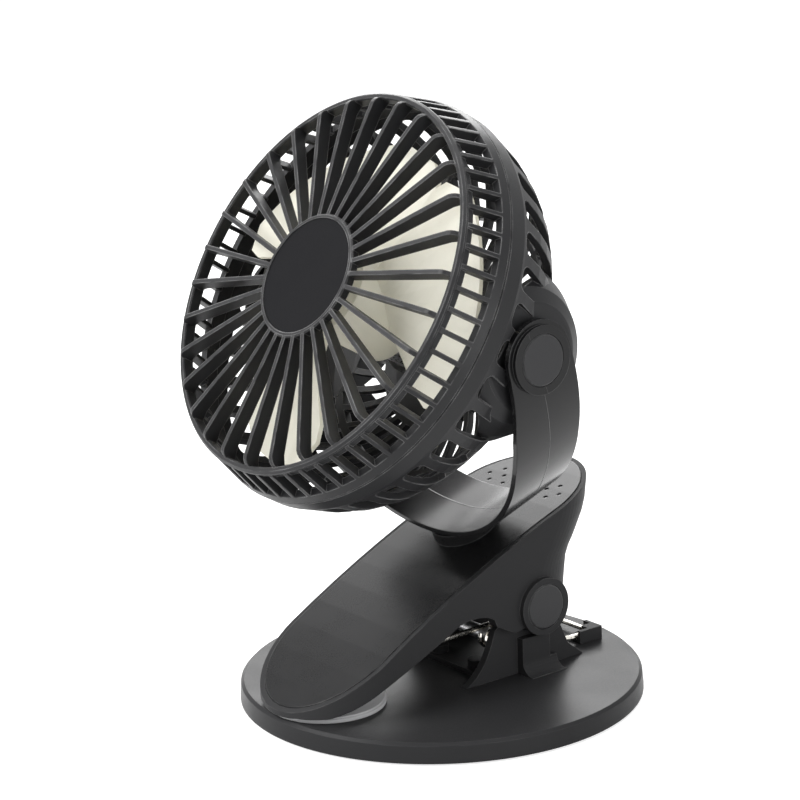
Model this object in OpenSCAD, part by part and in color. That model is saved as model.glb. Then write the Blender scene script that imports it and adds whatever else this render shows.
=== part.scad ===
// Portable fan on a spring clamp with a round table base.
// Z is up, the fan blows towards -Y, and the underside of the feet is at Z = 0
// on the middle of the base disc. The hinge and tilt axes run along X.

/* [Base] */
// Radius of the base disc at its foot
base_r = 69; // [60:0.5:80]
// Height of the base disc above the floor
base_h = 7.4; // [6.5:0.1:10]
// Bevel around the top edge of the base disc
base_bevel = 1.0; // [0.4:0.1:1.5]
// Wall of the base disc moulding
base_wall = 2.2; // [1.6:0.1:2.6]
// How far the steel ballast plate stays in from the rim
ballast_in = 13; // [13:1:29]
// Thickness of the steel ballast plate
ballast_t = 3.0; // [1.5:0.1:3.2]
// Radius of the round rubber feet
foot_r = 5.5; // [4:0.5:7]
// How far the middle of a foot stays in from the rim
foot_in = 9; // [8.5:0.5:19]
// How far the feet stand out under the base
foot_out = 0.6; // [0.3:0.1:1]
// Radius of the silicone pad under the jaw
base_pad_r = 19.5; // [15:0.5:22]
// Thickness of the silicone pad under the jaw
base_pad_t = 1.8; // [1:0.1:2]
// Distance from the rim of the base to the edge of the pad
base_pad_in = 1.5; // [1:0.1:5]

/* [Hinge] */
// Height of the clamp hinge pin above the floor
pin_z = 30.9; // [29:0.1:34]
// How far the hinge pin lies behind the middle of the base
pin_y = 23.5; // [20:0.5:26]
// Radius of the hinge pin
pin_r = 2.5; // [2:0.1:3]
// Distance between the outer faces of the bracket cheeks
bracket_w = 44.6; // [40:0.2:46]
// Thickness of a bracket cheek
cheek_t = 2.8; // [2:0.1:3.5]
// Radius of the round top of a cheek
cheek_top_r = 7.5; // [6.5:0.1:8]
// Length of a cheek along the base
cheek_len = 52; // [46:1:54]
// Thickness of the floor web between the cheeks
bracket_web_t = 1.6; // [1:0.1:2]
// Outer radius of the hinge bosses on the clamp
boss_r = 10; // [8:0.5:11]
// How far a hinge boss stands out of the clamp side
boss_out = 2.0; // [1:0.1:3]
// Radius of the hinge cap
hinge_cap_r = 7.7; // [6:0.1:9]

/* [Spring] */
// Wire radius of the clamp spring
wire_r = 0.95; // [0.6:0.05:1.3]
// Mean radius of the spring coils
coil_r = 3.7; // [3.2:0.1:4.4]
// Number of turns in each coil
coil_turns = 2; // [1:1:3]

/* [Clamp] */
// Half width of the clamp body at its rear round end
clamp_rear_r = 26.4; // [24:0.2:28]
// Half width of the clamp body at its tip
clamp_tip_r = 27.0; // [24:0.2:28]
// Wall of the clamp body
clamp_wall = 2.4; // [1.8:0.1:3]
// Thickness of the glossy face plate
cover_t = 2.0; // [1.5:0.1:2.5]
// Width of the bevel around the face plate
rim_w = 1.7; // [1:0.1:2.5]
// Depth of the electronics chamber under the face plate
chamber_d = 15; // [13:0.2:15.6]
// Thickness of the chamber floor
chamber_floor_t = 2.0; // [1.5:0.1:2.5]
// Length of the battery
battery_l = 24; // [16:1:26]
// Width of the battery
battery_w = 30; // [26:1:32]
// Thickness of the battery
battery_t = 6.2; // [4:0.1:6.2]
// Radius of the power button
button_r = 4.6; // [3.5:0.1:5]
// Travel of the power button
button_travel = 0.8; // [0.4:0.1:1]
// Radius of one indicator hole
lamp_r = 0.7; // [0.5:0.05:0.9]

/* [Yoke] */
// Gap between a pivot pad of the head and the yoke
yoke_gap = 2.6; // [1.8:0.1:3.5]
// How far the bow is drawn down below a half circle
bow_drop = 1.5; // [0:0.1:3]
// Thickness of the yoke strap
yoke_t = 1.8; // [1.5:0.1:3]
// Width of the yoke strap
yoke_w = 28; // [24:0.5:30]
// Radius of the round ends of the yoke
yoke_end_r = 12.6; // [11.5:0.1:13.5]
// Radius of the raised ring around a pivot cap
yoke_ring_r = 11; // [10:0.1:11.4]
// How far that ring stands out
yoke_ring_t = 1.4; // [0.8:0.1:2]
// Radius of a pivot cap
pivot_cap_r = 8.2; // [7:0.1:9]
// Lean of the yoke towards the front
yoke_lean = 20.5; // [18:0.5:23]
// Radius of the turntable under the yoke
turntable_r = 11.5; // [10:0.5:14]
// Height of the turntable above the face plate
turntable_h = 7.0; // [5:0.1:10]
// Radius of the swivel stem
stem_r = 4.5; // [3.5:0.1:5]

// How far behind the middle of the base the swivel axis meets the face
seat_y = 12.38; // [8:0.1:16]

/* [Head] */
// Upward aim of the fan at rest
head_aim = 30.7; // [25:0.1:36]
// Distance from the tilt axis forward to the joint of the two shells
joint_z = 23; // [22:0.1:24]
// Radius of the head at the joint of the two shells
head_r = 69.7; // [68:0.1:70]
// Height of the plain band on the front grille
front_band = 3.3; // [2.5:0.1:4]
// Height of the plain band on the rear housing
rear_band = 7.0; // [5:0.1:8]
// Distance from the joint to the front of the grille ring
ring_z = 16.2; // [15:0.1:18]
// How much smaller the radius of the grille ring is than that of the joint
ring_in = 4.5; // [2.7:0.1:6.7]
// Depth of the grille ring
ring_d = 4.2; // [3:0.1:5]
// Wall of the grille ring
ring_wall = 2.4; // [1.8:0.1:3]
// Number of ribs across the grille
front_ribs = 30; // [24:1:36]
// Number of ribs around the side of the grille
side_ribs = 60; // [48:1:66]
// Thickness of a grille rib
rib_t = 1.5; // [1.1:0.1:1.7]
// Depth of a grille rib
rib_d = 5.0; // [3.5:0.1:5.5]
// Radius of the hub plate of the grille
hub_r = 21.1; // [19:0.1:24]
// Distance from the joint to the front of the hub plate
hub_z = 20.5; // [19:0.1:21.5]
// Width of the raised rim of the hub plate
hub_rim = 1.5; // [1:0.1:4]
// Wall of the head shells
shell_wall = 2.4; // [1.8:0.1:2.8]
// Number of openings around the rear housing
rear_slots = 36; // [28:1:38]
// Thickness of a rear rib
rear_rib_t = 2.2; // [1.6:0.1:2.6]
// Swirl of the rear ribs from the rim to the middle, in degrees
rear_swirl = 32; // [10:1:45]
// Distance from the tilt axis back to the rear face
back_z = 25; // [24:0.5:28]
// Radius of the plain disc in the rear face
back_disc_r = 24; // [22:0.5:28]
// How far a pivot pad stands in from the radius of the joint
ear_in = 4.1; // [3.7:0.1:4.7]

/* [Fan] */
// Radius of the impeller
blade_r = 58; // [50:0.5:60]
// Number of blades
blades = 3; // [2:1:4]
// Angle that one blade covers
blade_arc = 88; // [60:1:100]
// Height of a blade along the shaft
blade_rise = 20; // [14:0.5:22]
// Thickness of a blade
blade_t = 1.6; // [1.2:0.1:2.2]
// Distance from the tilt axis forward to the middle of the blades
blade_z = 20.5; // [19:0.1:22]
// Turn of the impeller at rest
blade_turn = 10; // [0:1:119]
// Radius of the impeller hub
fan_hub_r = 15; // [13:0.5:17]
// Radius of the motor can
motor_r = 12.2; // [10:0.1:13]
// Length of the motor can
motor_l = 26; // [22:0.5:28]
// Radius of the motor shaft
shaft_r = 1.0; // [0.8:0.05:1.5]

/* [Fits] */
// Radial clearance of a running fit
run_fit = 0.08; // [0.04:0.01:0.1]
// Clearance between parts that only lie near each other
gap = 0.3; // [0.2:0.05:0.35]

/* [Hidden] */
$fn = 96;
eps = 0.01;

// ---------- shared shapes ----------

// A bar along X from x0 to x1
module bar_x(x0, x1, r) {
    translate([x0, 0, 0]) rotate([0, 90, 0]) cylinder(r = r, h = x1 - x0);
}

// The same piece on the +X and -X side
module both_sides() {
    children();
    mirror([1, 0, 0]) children();
}

// A plate whose outline is drawn in the Y-Z plane, from x0 to x1
module side_plate(x0, x1) {
    translate([x0, 0, 0]) rotate([90, 0, 90]) linear_extrude(x1 - x0) children();
}

// A countersunk screw with its head at Z = 0 and its shank downwards
module screw(head_r, head_h, shank_r, length) {
    cylinder(r = head_r, h = head_h);
    translate([0, 0, -length]) cylinder(r = shank_r, h = length);
}

function unit(v) = v / norm(v);

// Wire of radius r along a list of points, with the frame carried along the route
module wire(path, r, sides = 10) {
    n = len(path);
    tangent = [for (i = [0:n - 1]) unit(path[min(i + 1, n - 1)] - path[max(i - 1, 0)])];
    start = unit(cross(tangent[0], [0.3, 0.9, 0.2]));
    normal = [
        for (i = 0, v = start; i < n; i = i + 1,
             v = i < n ? unit(v - tangent[i] * (v * tangent[i])) : v) v
    ];
    points = [
        for (i = [0:n - 1], k = [0:sides - 1])
            path[i] + r * (normal[i] * cos(k * 360 / sides)
                + cross(tangent[i], normal[i]) * sin(k * 360 / sides))
    ];
    walls = [
        for (i = [0:n - 2], k = [0:sides - 1])
            [i * sides + k, (i + 1) * sides + k,
             (i + 1) * sides + (k + 1) % sides, i * sides + (k + 1) % sides]
    ];
    first = [for (k = [0:sides - 1]) k];
    last = [for (k = [sides - 1:-1:0]) (n - 1) * sides + k];
    polyhedron(points, concat(walls, [first], [last]), convexity = 6);
}

// ---------- base ----------

plate_t = 1.4;
plate_r = base_r - base_wall - gap;
ballast_r = base_r - ballast_in;
foot_ring_r = base_r - foot_in;
base_pad_y = base_r - base_pad_r - base_pad_in;
ballast_z = foot_out + plate_t;
base_screw_r = 1.2;
base_screw_ring = base_r - 9.8;

// Round disc with a bevelled top edge, hollow underneath
module base_disc() {
    color([0.16, 0.16, 0.17])
    difference() {
        rotate_extrude() polygon([
            [0, foot_out], [base_r, foot_out], [base_r, foot_out + 1],
            [base_r - 0.4, base_h - base_bevel], [base_r - 0.4 - base_bevel, base_h], [0, base_h]
        ]);
        translate([0, 0, foot_out - eps]) cylinder(r = plate_r + gap, h = plate_t + gap);
        translate([0, 0, foot_out]) cylinder(r = ballast_r + gap, h = plate_t + ballast_t + gap);
        for (p = bracket_screw_places()) translate([p[0], p[1], foot_out])
            cylinder(r = bracket_screw_r, h = base_h);
        for (a = [45:90:315]) rotate(a) translate([base_screw_ring, 0, foot_out])
            cylinder(r = base_screw_r, h = base_h - foot_out - 1.2);
    }
}

// Thin plate that closes the underside
module base_plate() {
    color([0.13, 0.13, 0.14])
    difference() {
        translate([0, 0, foot_out]) cylinder(r = plate_r, h = plate_t);
        for (a = [45:90:315]) rotate(a) translate([base_screw_ring, 0, 0])
            cylinder(r = base_screw_r + 0.1, h = base_h);
        for (p = foot_places()) translate(p) cylinder(r = foot_r + 0.02, h = foot_out + 0.6);
    }
}

// Steel disc that gives the base its weight
module ballast_plate() {
    color([0.55, 0.56, 0.58])
    difference() {
        translate([0, 0, ballast_z + 0.05]) cylinder(r = ballast_r, h = ballast_t);
        for (p = bracket_screw_places()) translate([p[0], p[1], 0])
            cylinder(r = bracket_screw_head_r + gap, h = base_h);
    }
}

// Round rubber feet let into the plate: four near the rim and one in the middle
module rubber_feet() {
    color([0.08, 0.08, 0.08])
    for (p = foot_places()) translate(p) cylinder(r = foot_r, h = foot_out + 0.6);
}

function foot_places() = concat([[0, 0, 0]], [for (a = [0:90:270]) foot_ring_r * [cos(a), sin(a), 0]]);

// Screws that hold the plate to the disc
module base_screws() {
    color([0.5, 0.5, 0.52])
    for (a = [45:90:315]) rotate(a)
        translate([base_screw_ring, 0, foot_out - 0.05]) rotate([180, 0, 0])
            screw(base_screw_r + 0.9, 0.5, base_screw_r - 0.05, base_h - foot_out - 2);
}

// Silicone pad on the base, under the tip of the clamp
module base_pad() {
    color([0.72, 0.72, 0.73])
    translate([0, -base_pad_y, base_h + 0.02]) {
        cylinder(r = base_pad_r, h = base_pad_t - 0.5);
        translate([0, 0, base_pad_t - 0.5]) cylinder(r = base_pad_r - 0.5, h = 0.5);
    }
}

// ---------- hinge bracket and spring ----------

cheek_x = bracket_w / 2;
web_y0 = pin_y - 21;
web_y1 = pin_y + 17;
bracket_screw_r = 1.5;
bracket_screw_head_r = 3.2;
function bracket_screw_places() =
    [[-10, web_y0 + 5], [10, web_y0 + 5], [-8, web_y1 - 5], [8, web_y1 - 5]];
column_y0 = pin_y - 8;
column_y1 = pin_y + 4;
column_out = 3.0;
column_top = pin_z - boss_r - 0.6;
flare_out = 8.0;
flare_h = 4.4;
flare_lip = 0.3;
rod_r = 2.4;
rod_seat = 1.6;
rod_y = pin_y - 12;
rod_z = pin_z - 11.3;

// Outline of a cheek in the Y-Z plane, curved in front and sloped behind
module cheek_outline() {
    front_y = pin_y - 30.6;
    union() {
        translate([pin_y, pin_z]) circle(r = cheek_top_r);
        polygon(concat(
            [[front_y, base_h]],
            [for (a = [10:10:60])
                [front_y - 1 + 29 * sin(a) * 0.56, base_h + 29 * (1 - cos(a)) + a * 0.05]],
            [[pin_y - cheek_top_r + 0.3, pin_z + 2], [pin_y, pin_z + 1],
             [pin_y + cheek_top_r, pin_z], [pin_y + 5.2, pin_z - 8.6],
             [pin_y + 11.6, pin_z - 11], [pin_y + 14.7, base_h + 5.5],
             [front_y + cheek_len, base_h]]
        ));
    }
}

// Section of a column foot: hollow curve from the column out to a thin lip
module flare() {
    polygon(concat(
        [[0, 0], [flare_out, 0]],
        [for (a = [0:15:90])
            [flare_out - (flare_out - column_out) * sin(a),
             flare_lip + (flare_h - flare_lip) * (1 - cos(a))]],
        [[0, flare_h]]
    ));
}

// Two cheeks on a floor web, each with an outer column and a flared foot
module hinge_bracket() {
    color([0.15, 0.15, 0.16])
    difference() {
        union() {
            both_sides() {
                side_plate(cheek_x - cheek_t, cheek_x) cheek_outline();
                translate([cheek_x - eps, column_y0, base_h])
                    cube([column_out, column_y1 - column_y0, column_top - base_h]);
                translate([cheek_x - eps, column_y0, base_h]) rotate([90, 0, 0]) mirror([0, 0, 1])
                    linear_extrude(column_y1 - column_y0 + 2.9) flare();
            }
            translate([-cheek_x + eps, web_y0, base_h])
                cube([2 * cheek_x - 2 * eps, web_y1 - web_y0, bracket_web_t]);
            for (p = bracket_screw_places()) translate([p[0], p[1], base_h])
                cylinder(r = bracket_screw_r + 1.6, h = 4.2);
        }
        translate([0, pin_y, pin_z]) bar_x(-40, 40, pin_r);
        translate([0, rod_y, rod_z])
            bar_x(-cheek_x + cheek_t - rod_seat, cheek_x - cheek_t + rod_seat, rod_r);
        for (p = bracket_screw_places()) translate([p[0], p[1], base_h - 1])
            cylinder(r = bracket_screw_r, h = 4.4);
    }
}

// Screws from under the base disc into the bracket
module bracket_screws() {
    color([0.5, 0.5, 0.52])
    for (p = bracket_screw_places())
        translate([p[0], p[1], foot_out + plate_t + ballast_t + gap - 0.05]) rotate([180, 0, 0])
            screw(bracket_screw_head_r, 1.4, bracket_screw_r - 0.05, 5.2);
}

// Rod that carries the spring coils, with both ends let into the cheeks
module spring_rod() {
    half = cheek_x - cheek_t + rod_seat - 0.05;
    color([0.6, 0.6, 0.62])
    translate([0, rod_y, rod_z]) bar_x(-half, half, rod_r - 0.02);
}

// Steel pin of the clamp hinge, held in the cheeks
module hinge_pin() {
    color([0.6, 0.6, 0.62])
    translate([0, pin_y, pin_z]) bar_x(-boss_face + cap_seat, boss_face - cap_seat, pin_r - 0.01);
}

arm_x = 12.2;
arm_dip = 2;
arm_len = 57;
arm_turn = 295;

// Coordinates of a spring arm: origin on the rod, Y along the arm, Z across it
module arm_place() {
    translate([arm_x, rod_y, rod_z]) rotate([arm_dip, 0, 0]) children();
}

// Front arms of the spring, each with the coil turn that it leaves from
module spring_arms() {
    color([0.78, 0.76, 0.7])
    both_sides() arm_place() wire(concat(
        [for (i = [0:15]) let (a = 90 - arm_turn * (1 - i / 15)) [0, coil_r * cos(a), coil_r * sin(a)]],
        [[0, -8, coil_r], [0, -arm_len, coil_r]]
    ), wire_r);
}

coil_pitch = 2 * wire_r + 0.1;
loop_x = 12.9;
loop_y = pin_y + 33.8;
loop_z = base_h + 2.3;
bend_r = 2.6;
// Right half of the fixed part of the spring: coil, rear leg, half of the cross bar
function half_spring() =
    let (steps = 16, x0 = arm_x + 2 * wire_r + gap)
    concat(
        [for (i = [0:steps * coil_turns + 1]) let (a = 90 - i * 360 / steps)
            [x0 + coil_pitch * i / steps, rod_y + coil_r * cos(a), rod_z + coil_r * sin(a)]],
        [[x0 + coil_pitch * coil_turns, rod_y + 7, rod_z + 1.6],
         [loop_x + 0.5, loop_y - 14, loop_z + 0.8], [loop_x, loop_y - 10, loop_z]],
        [for (a = [0:18:90])
            [loop_x - bend_r + bend_r * cos(a), loop_y - bend_r + bend_r * sin(a), loop_z]]
    );

// Fixed part of the double spring: two coils joined by a loop behind the hinge
module torsion_spring() {
    half = half_spring();
    other = [for (i = [len(half) - 1:-1:0]) [-half[i][0], half[i][1], half[i][2]]];
    color([0.78, 0.76, 0.7])
    wire(concat(half, other), wire_r);
}

catch_w = 8.1;
catch_len = 10;
catch_h = 4.6;
catch_wall = 1.45;

// Two catches on the base that hold the corners of the spring loop
module spring_catches() {
    outer_x = loop_x + wire_r + 0.1 + catch_wall;
    end_y = loop_y + wire_r + 0.25 + catch_wall;
    color([0.15, 0.15, 0.16])
    both_sides() translate([outer_x - catch_w, end_y - catch_len, base_h + 0.02]) {
        cube([catch_w, catch_len, 1.28]);
        translate([catch_w - catch_wall, 0, 0]) cube([catch_wall, catch_len, catch_h]);
        translate([0, catch_len - catch_wall, 0]) cube([catch_w, catch_wall, catch_h]);
        translate([3.5, catch_len - 5.5, catch_h - 1.15]) cube([catch_w - 3.5, 5.5, 1.15]);
    }
}

// ---------- clamp ----------

pad_top = base_h + base_pad_t;
face_mid_z = 49.7;
face_grade = 0.448;
face_bow = 0.0016;
face_top_y = 2.8;
function face_z(y) = face_mid_z + face_grade * y - face_bow * pow(y - face_top_y, 2);
function face_slope(y) = atan(face_grade - 2 * face_bow * (y - face_top_y));
tip_y = -42.2;
rear_y = 32.4;
tip_end = tip_y - clamp_tip_r;
rear_end = rear_y + clamp_rear_r;
boss_face = clamp_rear_r + boss_out;
cap_seat = 1.6;

// Outline of the clamp body seen from above, drawn in by a margin
module clamp_plan(margin) {
    translate([0, tip_y]) circle(r = clamp_tip_r - margin);
    translate([0, rear_y]) circle(r = clamp_rear_r - margin);
    polygon([
        [-clamp_tip_r + margin, tip_y], [clamp_tip_r - margin, tip_y],
        [clamp_rear_r - margin, rear_y], [-clamp_rear_r + margin, rear_y]
    ]);
}

// Height, and how far the back wall stands in from the back end at that height
back_line = [[5, 12.0], [28, 12.0], [34, 11.4], [39, 10.8], [43.5, 10.1], [47, 8.6], [50, 6.6],
             [54, 4.4], [58, 2.3], [62, 1.0], [67, 0.3], [71, 0], [95, 0]];
block_y = 12;

// Everything inside the outline, with the waisted back wall
module clamp_block(margin) {
    n = 40;
    r = clamp_rear_r - margin;
    arc = [for (i = [0:n]) [r * cos(180 * i / n), rear_y + r * sin(180 * i / n)]];
    side = r + (rear_y - block_y) / (rear_y - tip_y) * (clamp_tip_r - clamp_rear_r);
    ring = concat([[-side, block_y], [side, block_y]], arc);
    count = len(ring);
    points = [for (level = back_line, p = ring)
        [p[0], p[1] == block_y ? p[1] : p[1] - level[1], level[0]]];
    levels = len(back_line);
    walls = [for (j = [0:levels - 2], k = [0:count - 1])
        [j * count + k, (j + 1) * count + k,
         (j + 1) * count + (k + 1) % count, j * count + (k + 1) % count]];
    polyhedron(points, concat(walls, [[for (k = [0:count - 1]) k]],
        [[for (k = [count - 1:-1:0]) (levels - 1) * count + k]]), convexity = 6);
    intersection() {
        linear_extrude(90) clamp_plan(margin);
        translate([-50, -100, 0]) cube([100, 100 + block_y + eps, 90]);
    }
}

// Points of the bowed face, lowered by a depth
function face_line(y0, y1, depth) =
    [for (i = [0:14]) let (y = y0 + (y1 - y0) * i / 14) [y, face_z(y) - depth]];

// Side view of the clamp body: bowed face, waisted back, boss, arch and thin tip
module clamp_side() {
    polygon(concat(
        face_line(tip_end - 1, rear_end + 1, 0),
        [[rear_end + 1, pin_z - 3.6], [pin_y + boss_r + 2, pin_z - 5]],
        [for (a = [-20:-20:-140])
            [pin_y + (boss_r - 0.6) * cos(a), pin_z + (boss_r - 0.6) * sin(a)]],
        [[pin_y - 12, pin_z - 6.9], [3.7, 27.8]],
        [for (a = [20:20:160]) [-6.5 + 9.5 * cos(a), 29.5 + 3.6 * sin(a)]],
        [[-20, 28.6], [-35.6, 21.8], [-44.8, 18], [-51, 14.9], [-55.7, 12.6],
         [-61, 10.4], [-66, pad_top + 0.35], [-67.4, pad_top + 0.25],
         [tip_end - 1, base_h + 0.7]]
    ));
}

// Side view of the electronics chamber
module chamber_side() {
    polygon(concat(
        face_line(tip_end, rear_end, -5),
        [[rear_end, face_z(rear_end) - cover_t - chamber_d],
         [14, face_z(14) - cover_t - chamber_d], [2, face_z(2) - cover_t - 9],
         [-8, face_z(-8) - cover_t - 7.4], [-20, 31.2], [-35.6, 24.4], [-44.8, 20.4], [-56, 15.2]]
    ));
}

pocket_wall = 1.4;
// Side view of the pocket that clears the hinge bracket
module pocket_side() {
    ceiling = cover_t + chamber_d + chamber_floor_t;
    polygon([
        [-14, 10], [-14, 31], [-3, 34.8], [4, 36.2], [14, face_z(14) - ceiling],
        [40, face_z(40) - ceiling], [rear_end - 15, 44.5], [rear_end, 43],
        [rear_end, 10]
    ]);
}

usb_w = 9.0;
usb_t = 3.2;
usb_z = 60.2;
usb_in = 2.2;
usb_l = 7;

// Hollow body: side walls, chamber floor, arch and hinge bosses
module clamp_body() {
    color([0.15, 0.15, 0.16])
    difference() {
        union() {
            intersection() {
                side_plate(-40, 40) clamp_side();
                clamp_block(0);
            }
            both_sides() translate([0, pin_y, pin_z]) bar_x(cheek_x + gap, boss_face, boss_r);
        }
        intersection() {
            side_plate(-40, 40) chamber_side();
            clamp_block(clamp_wall);
        }
        intersection() {
            side_plate(-40, 40) polygon(concat(
                face_line(tip_end, rear_end, cover_t + 0.05), [[rear_end, 100], [tip_end, 60]]));
            clamp_block(rim_w);
        }
        intersection() {
            side_plate(-cheek_x - gap, cheek_x + gap) pocket_side();
            clamp_block(pocket_wall);
        }
        translate([0, pin_y, pin_z]) bar_x(-boss_face - 1, boss_face + 1, pin_r + run_fit);
        both_sides() translate([0, pin_y, pin_z])
            bar_x(boss_face - cap_seat, boss_face + 1, hinge_cap_r + 0.15);
        translate([-usb_w / 2 - 0.2, rear_end - 9, usb_z - usb_t / 2 - 0.2])
            cube([usb_w + 0.4, 20, usb_t + 0.4]);
        for (p = face_screw_places()) face_place(p[1]) translate([p[0], 0, -p[2]]) {
            translate([0, 0, -6]) cylinder(r = 1.2, h = 8);
            translate([0, 0, -6]) cylinder(r = 2.2, h = 6 - face_floor);
        }
        both_sides() arm_place() translate([-wire_r - 0.5, -arm_len - 1.5, coil_r - wire_r - 0.4])
            cube([2 * wire_r + 1, 24, 2 * wire_r + 3]);
        intersection() {
            translate([0, jaw_pad_y, 0]) cylinder(r = jaw_pad_r + 0.1, h = 40);
            side_plate(-40, 40) jaw_pad_side(0.02);
        }
    }
}

// Coordinates on the face: middle of the face at a given Y, Z outwards
module face_place(y) {
    translate([0, y, face_z(y)]) rotate([face_slope(y), 0, 0]) children();
}

// Across, along, and how far its post reaches below the face
function face_screw_places() =
    [[-19.5, -26, 7], [19.5, -26, 7], [-20.6, 24, 15.6], [20.6, 24, 15.6]];
face_floor = 1.1;
button_y = 43;
// Places of the indicator holes beside the button, mirrored to both sides
function lamp_places() = [[8, 35.8], [11.3, 39.3], [14.7, 42.6], [15, 35.6], [18.5, 38.7]];

// Glossy plate let into the top of the clamp body, with the fixed half of the turntable
module face_plate() {
    color([0.1, 0.1, 0.11])
    difference() {
        union() {
            intersection() {
                side_plate(-40, 40) polygon(concat(
                    face_line(tip_end, rear_end, -0.25),
                    [for (p = face_line(rear_end, tip_end, cover_t)) p]));
                clamp_block(rim_w + 0.12);
            }
            swivel_place() translate([0, 0, -turntable_h - cover_t])
                cylinder(r = turntable_r, h = turntable_h / 2 + cover_t);
            for (p = face_screw_places()) face_place(p[1]) translate([p[0], 0, -p[2] + 0.1])
                cylinder(r = 2.4, h = p[2] - cover_t + 0.5);
        }
        swivel_place() translate([0, 0, -40]) cylinder(r = stem_r + run_fit, h = 60);
        swivel_place() translate([0, 0, -turntable_h - cover_t - 12])
            cylinder(r = turntable_r + 2, h = 10);
        face_place(button_y) translate([0, 0, -10]) cylinder(r = button_r + 0.2, h = 20);
        both_sides() for (p = lamp_places()) face_place(p[1]) translate([p[0], 0, -10])
            cylinder(r = lamp_r + 0.05, h = 20);
        for (p = face_screw_places()) face_place(p[1]) translate([p[0], 0, -p[2]])
            cylinder(r = 0.9, h = 5);
    }
}

// Screws from below that hold the face plate
module face_screws() {
    color([0.5, 0.5, 0.52])
    for (p = face_screw_places()) face_place(p[1]) translate([p[0], 0, -p[2] - face_floor - 0.02])
        rotate([180, 0, 0]) screw(2.0, 0.9, 0.88, 5);
}

jaw_pad_r = 8;
jaw_pad_y = -52.8;
// Side view of the slab let into the sloping underside of the tip
module jaw_pad_side(grow) {
    line = [[-61, 10.2], [-55.7, 12.6], [-51, 14.9], [-44.8, 18]];
    polygon(concat(
        [for (p = line) p - [0, 0.6 + grow]],
        [for (i = [3:-1:0]) line[i] + [0, 0.9 + grow]]
    ));
}

// Rubber jaw pad under the tip
module jaw_pad() {
    color([0.08, 0.08, 0.08])
    intersection() {
        translate([0, jaw_pad_y, 0]) cylinder(r = jaw_pad_r, h = 40);
        side_plate(-40, 40) jaw_pad_side(0);
    }
}

// Round caps over the ends of the hinge pin
module hinge_caps() {
    color([0.22, 0.22, 0.23])
    both_sides() translate([0, pin_y, pin_z]) {
        bar_x(boss_face - cap_seat + 0.02, boss_face - 0.1, hinge_cap_r);
        bar_x(boss_face - 0.11, boss_face + 0.2, hinge_cap_r - 0.35);
    }
}

battery_y = 24;
// Flat battery on the chamber floor, behind the turntable
module battery() {
    color([0.55, 0.57, 0.62])
    face_place(battery_y)
        translate([-battery_w / 2, -battery_l / 2, -cover_t - chamber_d + 1.2])
        cube([battery_w, battery_l, battery_t]);
}

board_t = 1.2;
board_depth = cover_t + 4.2;

// Circuit board under the button, with the switch the button presses
module control_board() {
    color([0.1, 0.32, 0.2])
    face_place(button_y - 2) intersection() {
        translate([-30, -9.5, -board_depth]) cube([60, 19, board_t]);
        union() {
            translate([0, -10, -20]) cylinder(r = clamp_rear_r - clamp_wall - 0.9, h = 40);
        }
    }
    color([0.1, 0.1, 0.1])
    face_place(button_y) translate([-2.5, -2.5, -board_depth + board_t - eps]) {
        cube([5, 5, 0.5]);
        translate([2.5, 2.5, 0]) cylinder(r = 1.4, h = 0.8 - gap + 0.1);
    }
}

// Push button that stands just above the face
module power_button() {
    color([0.24, 0.24, 0.25])
    face_place(button_y) {
        translate([0, 0, -cover_t - 0.4]) cylinder(r = button_r, h = cover_t + 0.4 + 1.1);
        translate([0, 0, -cover_t - 1.2]) cylinder(r = button_r + 0.9, h = 0.8);
    }
}

// Metal shell of the charging socket in the back wall
module usb_socket() {
    color([0.62, 0.62, 0.64])
    difference() {
        translate([-usb_w / 2, rear_end - usb_in - usb_l, usb_z - usb_t / 2])
            cube([usb_w, usb_l, usb_t]);
        translate([-usb_w / 2 + 0.4, rear_end - usb_in - usb_l + 1.4, usb_z - usb_t / 2 + 0.4])
            cube([usb_w - 0.8, usb_l, usb_t - 0.8]);
    }
}

// Light pipes in the indicator holes
module indicator_lamps() {
    color([0.05, 0.05, 0.06])
    both_sides() for (p = lamp_places()) face_place(p[1]) translate([p[0], 0, -cover_t])
        cylinder(r = lamp_r, h = cover_t - 0.1);
}

// ---------- yoke ----------

ring_r = head_r - ring_in;
ear_x = head_r - ear_in;
yoke_in_r = ear_x + yoke_gap;
yoke_out_r = yoke_in_r + yoke_t;
strap_shift = 3;
// Length from the face along the swivel axis to the height of the tilt axis
arm_up = turntable_h + bow_drop + yoke_out_r;
seat_lift = 0.32;
pivot_y = arm_up * sin(yoke_lean) - strap_shift * cos(yoke_lean) - seat_y;
pivot_z = face_z(seat_y) + seat_lift + arm_up * cos(yoke_lean) + strap_shift * sin(yoke_lean);

// Coordinates of the yoke: origin on the tilt axis, Z along its arms
module yoke_place() {
    translate([0, -pivot_y, pivot_z]) rotate([yoke_lean, 0, 0]) children();
}

stem_len = turntable_h / 2 + cover_t + 1.0;
// Coordinates of the swivel: origin where its axis leaves the strap, Z along the arms
module swivel_place() {
    yoke_place() translate([0, -strap_shift, -yoke_out_r - bow_drop]) children();
}

// U outline of the strap, seen from the front
module bow(r) {
    translate([0, -bow_drop]) {
        circle(r = r, $fn = 180);
        translate([-r, 0]) square([2 * r, bow_drop + yoke_end_r + 1]);
    }
}

// Side view of the strap: round end that widens into a straight strap
module strap_side() {
    circle(r = yoke_end_r);
    polygon([
        [-yoke_end_r, 0], [-yoke_end_r - 1.6, -10], [-strap_shift - yoke_w / 2 + 0.7, -22],
        [-strap_shift - yoke_w / 2, -34], [-strap_shift - yoke_w / 2, -90],
        [yoke_w / 2 - strap_shift, -90], [yoke_w / 2 - strap_shift, -34],
        [yoke_end_r - 0.6, -12], [yoke_end_r, 0]
    ]);
}

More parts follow.
